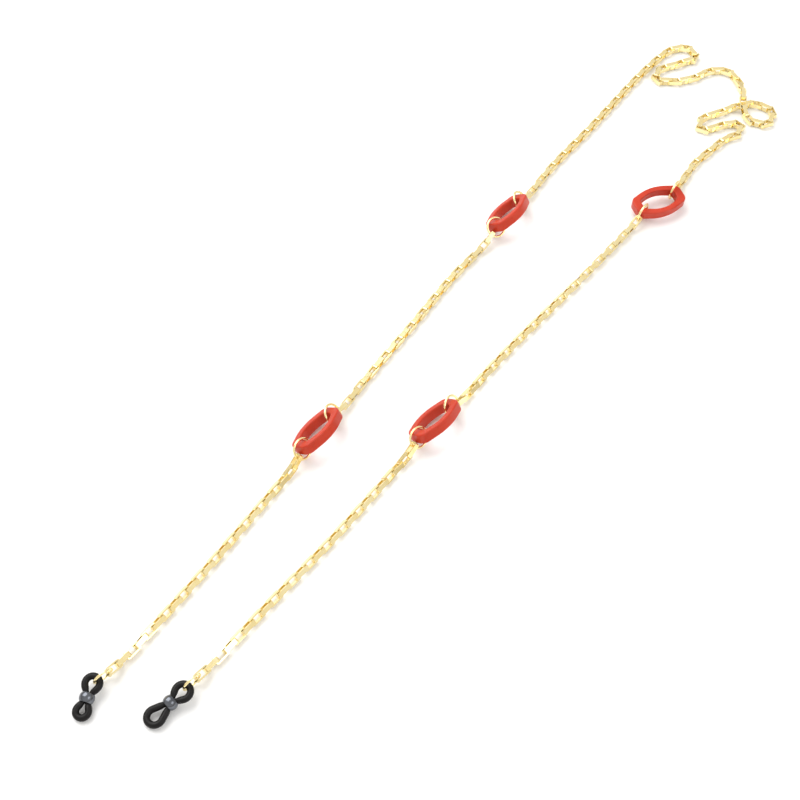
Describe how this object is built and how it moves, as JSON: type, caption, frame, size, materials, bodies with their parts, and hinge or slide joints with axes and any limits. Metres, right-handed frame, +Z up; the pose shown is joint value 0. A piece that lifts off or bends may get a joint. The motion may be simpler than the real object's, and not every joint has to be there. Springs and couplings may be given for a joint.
{
  "type": "eyeglasses chain strap",
  "caption": "Gold box-chain eyeglasses strap with long red hexagonal rings, round jump rings and a rubber temple loop with slider bead at each end, laid out folded.",
  "frame": {"origin": "middle of the underside of the bounding box of the strap as it lies on a table", "axes": "+Z up off the table; the temple loops point towards -Y and the neck end of the strap lies towards +Y; +X to the right seen from the temple loops"},
  "size_m": [0.2392, 0.292, 0.0097],
  "materials": {
    "gold": "polished",
    "resin": "polished translucent red resin",
    "rubber": "smooth",
    "bead": "gunmetal gloss"
  },
  "bodies": {
    "rubber_loop_left": {"rubber_loop_left": "rubber"},
    "end_ring_left": {"end_ring_left": "gold"},
    "chain_front_left_1": {"chain_front_left_1": "gold"},
    "chain_front_left_2": {"chain_front_left_2": "gold"},
    "chain_front_left_3": {"chain_front_left_3": "gold"},
    "chain_front_left_4": {"chain_front_left_4": "gold"},
    "chain_front_left_5": {"chain_front_left_5": "gold"},
    "jump_ring_front_left_near": {"jump_ring_front_left_near": "gold"},
    "resin_ring_front_left": {"resin_ring_front_left": "resin"},
    "jump_ring_front_left_far": {"jump_ring_front_left_far": "gold"},
    "chain_middle_left_1": {"chain_middle_left_1": "gold"},
    "chain_middle_left_2": {"chain_middle_left_2": "gold"},
    "chain_middle_left_3": {"chain_middle_left_3": "gold"},
    "chain_middle_left_4": {"chain_middle_left_4": "gold"},
    "chain_middle_left_5": {"chain_middle_left_5": "gold"},
    "jump_ring_back_left_near": {"jump_ring_back_left_near": "gold"},
    "resin_ring_back_left": {"resin_ring_back_left": "resin"},
    "jump_ring_back_left_far": {"jump_ring_back_left_far": "gold"},
    "chain_neck_1": {"chain_neck_1": "gold"},
    "chain_neck_2": {"chain_neck_2": "gold"},
    "chain_neck_3": {"chain_neck_3": "gold"},
    "chain_neck_4": {"chain_neck_4": "gold"},
    "chain_neck_5": {"chain_neck_5": "gold"},
    "chain_neck_6": {"chain_neck_6": "gold"},
    "chain_neck_7": {"chain_neck_7": "gold"},
    "chain_neck_8": {"chain_neck_8": "gold"},
    "chain_neck_9": {"chain_neck_9": "gold"},
    "chain_neck_10": {"chain_neck_10": "gold"},
    "chain_neck_11": {"chain_neck_11": "gold"},
    "chain_neck_12": {"chain_neck_12": "gold"},
    "chain_neck_13": {"chain_neck_13": "gold"},
    "chain_neck_14": {"chain_neck_14": "gold"},
    "chain_neck_15": {"chain_neck_15": "gold"},
    "chain_neck_16": {"chain_neck_16": "gold"},
    "chain_neck_17": {"chain_neck_17": "gold"},
    "chain_neck_18": {"chain_neck_18": "gold"},
    "chain_neck_19": {"chain_neck_19": "gold"},
    "chain_neck_20": {"chain_neck_20": "gold"},
    "jump_ring_back_right_far": {"jump_ring_back_right_far": "gold"},
    "resin_ring_back_right": {"resin_ring_back_right": "resin"},
    "jump_ring_back_right_near": {"jump_ring_back_right_near": "gold"},
    "chain_middle_right_1": {"chain_middle_right_1": "gold"},
    "chain_middle_right_2": {"chain_middle_right_2": "gold"},
    "chain_middle_right_3": {"chain_middle_right_3": "gold"},
    "chain_middle_right_4": {"chain_middle_right_4": "gold"},
    "chain_middle_right_5": {"chain_middle_right_5": "gold"},
    "jump_ring_front_right_far": {"jump_ring_front_right_far": "gold"},
    "resin_ring_front_right": {"resin_ring_front_right": "resin"},
    "jump_ring_front_right_near": {"jump_ring_front_right_near": "gold"},
    "chain_front_right_1": {"chain_front_right_1": "gold"},
    "chain_front_right_2": {"chain_front_right_2": "gold"},
    "chain_front_right_3": {"chain_front_right_3": "gold"},
    "chain_front_right_4": {"chain_front_right_4": "gold"},
    "chain_front_right_5": {"chain_front_right_5": "gold"},
    "end_ring_right": {"end_ring_right": "gold"},
    "rubber_loop_right": {"rubber_loop_right": "rubber"},
    "bead_left": {"bead_left": "bead"},
    "bead_right": {"bead_right": "bead"}
  },
  "joints": [
    {"name": "rubber_loop_left_swing", "type": "hinge", "parent": "end_ring_left", "child": "rubber_loop_left", "pos_m": [-0.11158, -0.13106, 0.00408], "axis": [-0.6462, 0.7317, 0.2169], "range_deg": [-36, 36]},
    {"name": "end_ring_left_lift", "type": "hinge", "parent": "chain_front_left_1", "child": "end_ring_left", "pos_m": [-0.11042, -0.12987, 0.00354], "axis": [-0.7063, 0.643, 0.296], "range_deg": [-30, 30]},
    {"name": "chain_front_left_1_lift", "type": "hinge", "parent": "chain_front_left_2", "child": "chain_front_left_1", "pos_m": [-0.0987, -0.11386, 0.00175], "axis": [0.6133, -0.4665, -0.6374], "range_deg": [-48, 32]},
    {"name": "chain_front_left_2_turn", "type": "hinge", "parent": "chain_front_left_3", "child": "chain_front_left_2", "pos_m": [-0.08772, -0.09848, 0.00171], "axis": [0.5772, -0.4085, 0.7071], "range_deg": [-24, 24]},
    {"name": "chain_front_left_3_turn", "type": "hinge", "parent": "chain_front_left_4", "child": "chain_front_left_3", "pos_m": [-0.077, -0.08291, 0.00167], "axis": [-0.5859, 0.3958, 0.7071], "range_deg": [-24, 24]},
    {"name": "chain_front_left_4_lift", "type": "hinge", "parent": "chain_front_left_5", "child": "chain_front_left_4", "pos_m": [-0.06637, -0.06729, 0.00172], "axis": [-0.6127, 0.4161, -0.6719], "range_deg": [-48, 48]},
    {"name": "chain_front_left_5_lift", "type": "hinge", "parent": "jump_ring_front_left_near", "child": "chain_front_left_5", "pos_m": [-0.05822, -0.05516, 0.00453], "axis": [0.6014, -0.6468, 0.469], "range_deg": [-12, 8]},
    {"name": "jump_ring_front_left_near_swing", "type": "hinge", "parent": "resin_ring_front_left", "child": "jump_ring_front_left_near", "pos_m": [-0.05736, -0.05334, 0.00527], "axis": [0.668, -0.5289, 0.5235], "range_deg": [-16, 12]},
    {"name": "resin_ring_front_left_swing", "type": "hinge", "parent": "jump_ring_front_left_far", "child": "resin_ring_front_left", "pos_m": [-0.04811, -0.0391, 0.00438], "axis": [-0.6913, 0.1473, -0.7074], "range_deg": [-16, 16]},
    {"name": "jump_ring_front_left_far_turn", "type": "hinge", "parent": "chain_middle_left_1", "child": "jump_ring_front_left_far", "pos_m": [-0.04684, -0.03765, 0.00344], "axis": [-0.5229, 0.0169, -0.8523], "range_deg": [-18, 18]},
    {"name": "chain_middle_left_1_turn", "type": "hinge", "parent": "chain_middle_left_2", "child": "chain_middle_left_1", "pos_m": [-0.03633, -0.02067, 0.00155], "axis": [0.0904, -0.0329, 0.9954], "range_deg": [-24, 4]},
    {"name": "chain_middle_left_2_lift", "type": "hinge", "parent": "chain_middle_left_3", "child": "chain_middle_left_2", "pos_m": [-0.02566, -0.00491, 0.00156], "axis": [-0.8248, 0.5654, 0], "range_deg": [-48, 48]},
    {"name": "chain_middle_left_3_turn", "type": "hinge", "parent": "chain_middle_left_4", "child": "chain_middle_left_3", "pos_m": [-0.01521, 0.011, 0.00154], "axis": [0.0009, 0.0014, 1], "range_deg": [-24, 4]},
    {"name": "chain_middle_left_4_lift", "type": "hinge", "parent": "chain_middle_left_5", "child": "chain_middle_left_4", "pos_m": [-0.00443, 0.02668, 0.00155], "axis": [-0.8029, 0.5962, 0], "range_deg": [-48, 24]},
    {"name": "chain_middle_left_5_turn", "type": "hinge", "parent": "jump_ring_back_left_near", "child": "chain_middle_left_5", "pos_m": [0.00725, 0.04109, 0.00438], "axis": [0.1249, -0.5686, 0.8131], "range_deg": [-14, 18]},
    {"name": "jump_ring_back_left_near_swing", "type": "hinge", "parent": "resin_ring_back_left", "child": "jump_ring_back_left_near", "pos_m": [0.00819, 0.04287, 0.00512], "axis": [0.4141, -0.5302, 0.7399], "range_deg": [-24, 24]},
    {"name": "resin_ring_back_left_swing", "type": "hinge", "parent": "jump_ring_back_left_far", "child": "resin_ring_back_left", "pos_m": [0.01769, 0.05694, 0.00423], "axis": [-0.6903, 0.1596, -0.7057], "range_deg": [-24, 24]},
    {"name": "jump_ring_back_left_far_turn", "type": "hinge", "parent": "chain_neck_1", "child": "jump_ring_back_left_far", "pos_m": [0.01898, 0.05838, 0.00329], "axis": [-0.512, 0.0409, -0.858], "range_deg": [-18, 18]},
    {"name": "chain_neck_1_turn", "type": "hinge", "parent": "chain_neck_2", "child": "chain_neck_1", "pos_m": [0.02974, 0.07524, 0.00155], "axis": [0.0894, -0.035, 0.9954], "range_deg": [-24, 0]},
    {"name": "chain_neck_2_lift", "type": "hinge", "parent": "chain_neck_3", "child": "chain_neck_2", "pos_m": [0.04121, 0.09044, 0.00156], "axis": [-0.7879, 0.6158, 0], "range_deg": [-48, 48]},
    {"name": "chain_neck_3_turn", "type": "hinge", "parent": "chain_neck_4", "child": "chain_neck_3", "pos_m": [0.05265, 0.10566, 0.00156], "axis": [0.0001, 0.0001, 1], "range_deg": [-24, 0]},
    {"name": "chain_neck_4_lift", "type": "hinge", "parent": "chain_neck_5", "child": "chain_neck_4", "pos_m": [0.06381, 0.12109, 0.00156], "axis": [-0.8077, 0.5896, 0], "range_deg": [-48, 48]},
    {"name": "chain_neck_5_turn", "type": "hinge", "parent": "chain_neck_6", "child": "chain_neck_5", "pos_m": [0.07242, 0.13225, 0.00156], "axis": [0, 0, 1], "range_deg": [-12, 0]},
    {"name": "chain_neck_6_turn", "type": "hinge", "parent": "chain_neck_7", "child": "chain_neck_6", "pos_m": [0.083, 0.14316, 0.00156], "axis": [0, 0, -1], "range_deg": [0, 12]},
    {"name": "chain_neck_7_turn", "type": "hinge", "parent": "chain_neck_8", "child": "chain_neck_7", "pos_m": [0.09129, 0.13712, 0.00156], "axis": [0, 0, 1], "range_deg": [-12, 0]},
    {"name": "chain_neck_8_turn", "type": "hinge", "parent": "chain_neck_9", "child": "chain_neck_8", "pos_m": [0.07726, 0.1313, 0.00156], "axis": [0, 0, -1], "range_deg": [0, 12]},
    {"name": "chain_neck_9_turn", "type": "hinge", "parent": "chain_neck_10", "child": "chain_neck_9", "pos_m": [0.08396, 0.12435, 0.00156], "axis": [-0.0001, 0, 1], "range_deg": [-12, 0]},
    {"name": "chain_neck_10_turn", "type": "hinge", "parent": "chain_neck_11", "child": "chain_neck_10", "pos_m": [0.09773, 0.13063, 0.00155], "axis": [0.0033, 0.0001, -1], "range_deg": [0, 12]},
    {"name": "chain_neck_11_turn", "type": "hinge", "parent": "chain_neck_12", "child": "chain_neck_11", "pos_m": [0.10786, 0.12244, 0.00174], "axis": [0.0176, 0.2592, 0.9657], "range_deg": [-12, 6]},
    {"name": "chain_neck_12_lift", "type": "hinge", "parent": "chain_neck_13", "child": "chain_neck_12", "pos_m": [0.10672, 0.10735, 0.00281], "axis": [-0.9998, 0.0176, 0], "range_deg": [0, 9]},
    {"name": "chain_neck_14_lift", "type": "hinge", "parent": "chain_neck_13", "child": "chain_neck_14", "pos_m": [0.11727, 0.10122, 0.00159], "axis": [-0.3648, 0.9311, 0], "range_deg": [-5, 0]},
    {"name": "chain_neck_15_lift", "type": "hinge", "parent": "chain_neck_14", "child": "chain_neck_15", "pos_m": [0.11002, 0.11177, 0.00156], "axis": [0.2484, 0.9686, 0], "range_deg": [-6, 0]},
    {"name": "chain_neck_16_lift", "type": "hinge", "parent": "chain_neck_15", "child": "chain_neck_16", "pos_m": [0.09591, 0.10568, 0.00156], "axis": [0.3969, -0.9179, 0], "range_deg": [-48, 48]},
    {"name": "chain_neck_17_turn", "type": "hinge", "parent": "chain_neck_16", "child": "chain_neck_17", "pos_m": [0.09124, 0.0967, 0.00156], "axis": [0, 0, -1], "range_deg": [-12, 0]},
    {"name": "chain_neck_18_turn", "type": "hinge", "parent": "chain_neck_17", "child": "chain_neck_18", "pos_m": [0.10499, 0.09833, 0.00156], "axis": [0, 0, 1], "range_deg": [0, 12]},
    {"name": "chain_neck_19_lift", "type": "hinge", "parent": "chain_neck_18", "child": "chain_neck_19", "pos_m": [0.09341, 0.08751, 0.00156], "axis": [-0.6982, 0.7159, 0], "range_deg": [-48, 48]},
    {"name": "chain_neck_20_turn", "type": "hinge", "parent": "chain_neck_19", "child": "chain_neck_20", "pos_m": [0.08373, 0.07729, 0.00156], "axis": [-0.029, 0.0239, -0.9993], "range_deg": [-24, 0]},
    {"name": "jump_ring_back_right_far_lift", "type": "hinge", "parent": "chain_neck_20", "child": "jump_ring_back_right_far", "pos_m": [0.07548, 0.06352, 0.00375], "axis": [0.8377, -0.539, -0.0875], "range_deg": [-2, 2]},
    {"name": "resin_ring_back_right_swing", "type": "hinge", "parent": "jump_ring_back_right_far", "child": "resin_ring_back_right", "pos_m": [0.07445, 0.06186, 0.00467], "axis": [0.8276, -0.5557, -0.0798], "range_deg": [-4, 4]},
    {"name": "jump_ring_back_right_near_swing", "type": "hinge", "parent": "resin_ring_back_right", "child": "jump_ring_back_right_near", "pos_m": [0.06185, 0.05088, 0.00419], "axis": [0.8073, -0.5858, -0.0719], "range_deg": [-4, 4]},
    {"name": "chain_middle_right_1_lift", "type": "hinge", "parent": "jump_ring_back_right_near", "child": "chain_middle_right_1", "pos_m": [0.0607, 0.04943, 0.00309], "axis": [0.7807, -0.6189, -0.0869], "range_deg": [-2, 2]},
    {"name": "chain_middle_right_2_lift", "type": "hinge", "parent": "chain_middle_right_1", "child": "chain_middle_right_2", "pos_m": [0.0461, 0.03173, 0.00172], "axis": [0.7114, -0.5894, -0.3827], "range_deg": [-48, 48]},
    {"name": "chain_middle_right_3_turn", "type": "hinge", "parent": "chain_middle_right_2", "child": "chain_middle_right_3", "pos_m": [0.03052, 0.01325, 0.0017], "axis": [0.5022, -0.4272, 0.7518], "range_deg": [-24, 24]},
    {"name": "chain_middle_right_4_turn", "type": "hinge", "parent": "chain_middle_right_3", "child": "chain_middle_right_4", "pos_m": [0.01553, -0.00428, 0.0017], "axis": [0.5385, -0.4583, 0.7071], "range_deg": [-24, 24]},
    {"name": "chain_middle_right_5_lift", "type": "hinge", "parent": "chain_middle_right_4", "child": "chain_middle_right_5", "pos_m": [0.00409, -0.01834, 0.0017], "axis": [-0.5869, 0.4453, -0.6762], "range_deg": [-48, 48]},
    {"name": "jump_ring_front_right_far_lift", "type": "hinge", "parent": "chain_middle_right_5", "child": "jump_ring_front_right_far", "pos_m": [-0.00795, -0.03444, 0.00353], "axis": [0.7606, -0.3892, 0.5196], "range_deg": [-18, 18]},
    {"name": "resin_ring_front_right_swing", "type": "hinge", "parent": "jump_ring_front_right_far", "child": "resin_ring_front_right", "pos_m": [-0.00938, -0.03577, 0.00445], "axis": [0.734, -0.4297, 0.526], "range_deg": [-24, 24]},
    {"name": "jump_ring_front_right_near_swing", "type": "hinge", "parent": "resin_ring_front_right", "child": "jump_ring_front_right_near", "pos_m": [-0.0203, -0.04878, 0.00504], "axis": [0.606, -0.5909, 0.5326], "range_deg": [-24, 24]},
    {"name": "chain_front_right_1_lift", "type": "hinge", "parent": "jump_ring_front_right_near", "child": "chain_front_right_1", "pos_m": [-0.02131, -0.05052, 0.00427], "axis": [0.5467, -0.6782, 0.4911], "range_deg": [-18, 14]},
    {"name": "chain_front_right_2_turn", "type": "hinge", "parent": "chain_front_right_1", "child": "chain_front_right_2", "pos_m": [-0.03305, -0.06586, 0.00174], "axis": [0.5682, -0.4209, -0.7071], "range_deg": [-24, 24]},
    {"name": "chain_front_right_3_turn", "type": "hinge", "parent": "chain_front_right_2", "child": "chain_front_right_3", "pos_m": [-0.04557, -0.08239, 0.0017], "axis": [-0.5613, 0.4301, 0.7071], "range_deg": [-24, 24]},
    {"name": "chain_front_right_4_turn", "type": "hinge", "parent": "chain_front_right_3", "child": "chain_front_right_4", "pos_m": [-0.05796, -0.09776, 0.0017], "axis": [0.5454, -0.45, 0.7071], "range_deg": [-24, 24]},
    {"name": "chain_front_right_5_turn", "type": "hinge", "parent": "chain_front_right_4", "child": "chain_front_right_5", "pos_m": [-0.07038, -0.11309, 0.00174], "axis": [0.5527, -0.441, -0.7071], "range_deg": [-24, 24]},
    {"name": "end_ring_right_lift", "type": "hinge", "parent": "chain_front_right_5", "child": "end_ring_right", "pos_m": [-0.08485, -0.1316, 0.00337], "axis": [0.7048, -0.6434, -0.2988], "range_deg": [-30, 30]},
    {"name": "rubber_loop_right_swing", "type": "hinge", "parent": "end_ring_right", "child": "rubber_loop_right", "pos_m": [-0.08592, -0.13286, 0.00395], "axis": [0.7181, -0.6792, -0.1519], "range_deg": [-36, 36]},
    {"name": "bead_left_slide", "type": "slide", "parent": "rubber_loop_left", "child": "bead_left", "axis": [0.2692, 0.939, 0.214], "range_m": [-0.002, 0.002], "deforming": ["rubber_loop_left"]},
    {"name": "bead_right_slide", "type": "slide", "parent": "rubber_loop_right", "child": "bead_right", "axis": [0.7227, 0.6739, 0.1534], "range_m": [-0.002, 0.002], "deforming": ["rubber_loop_right"]}
  ]
}
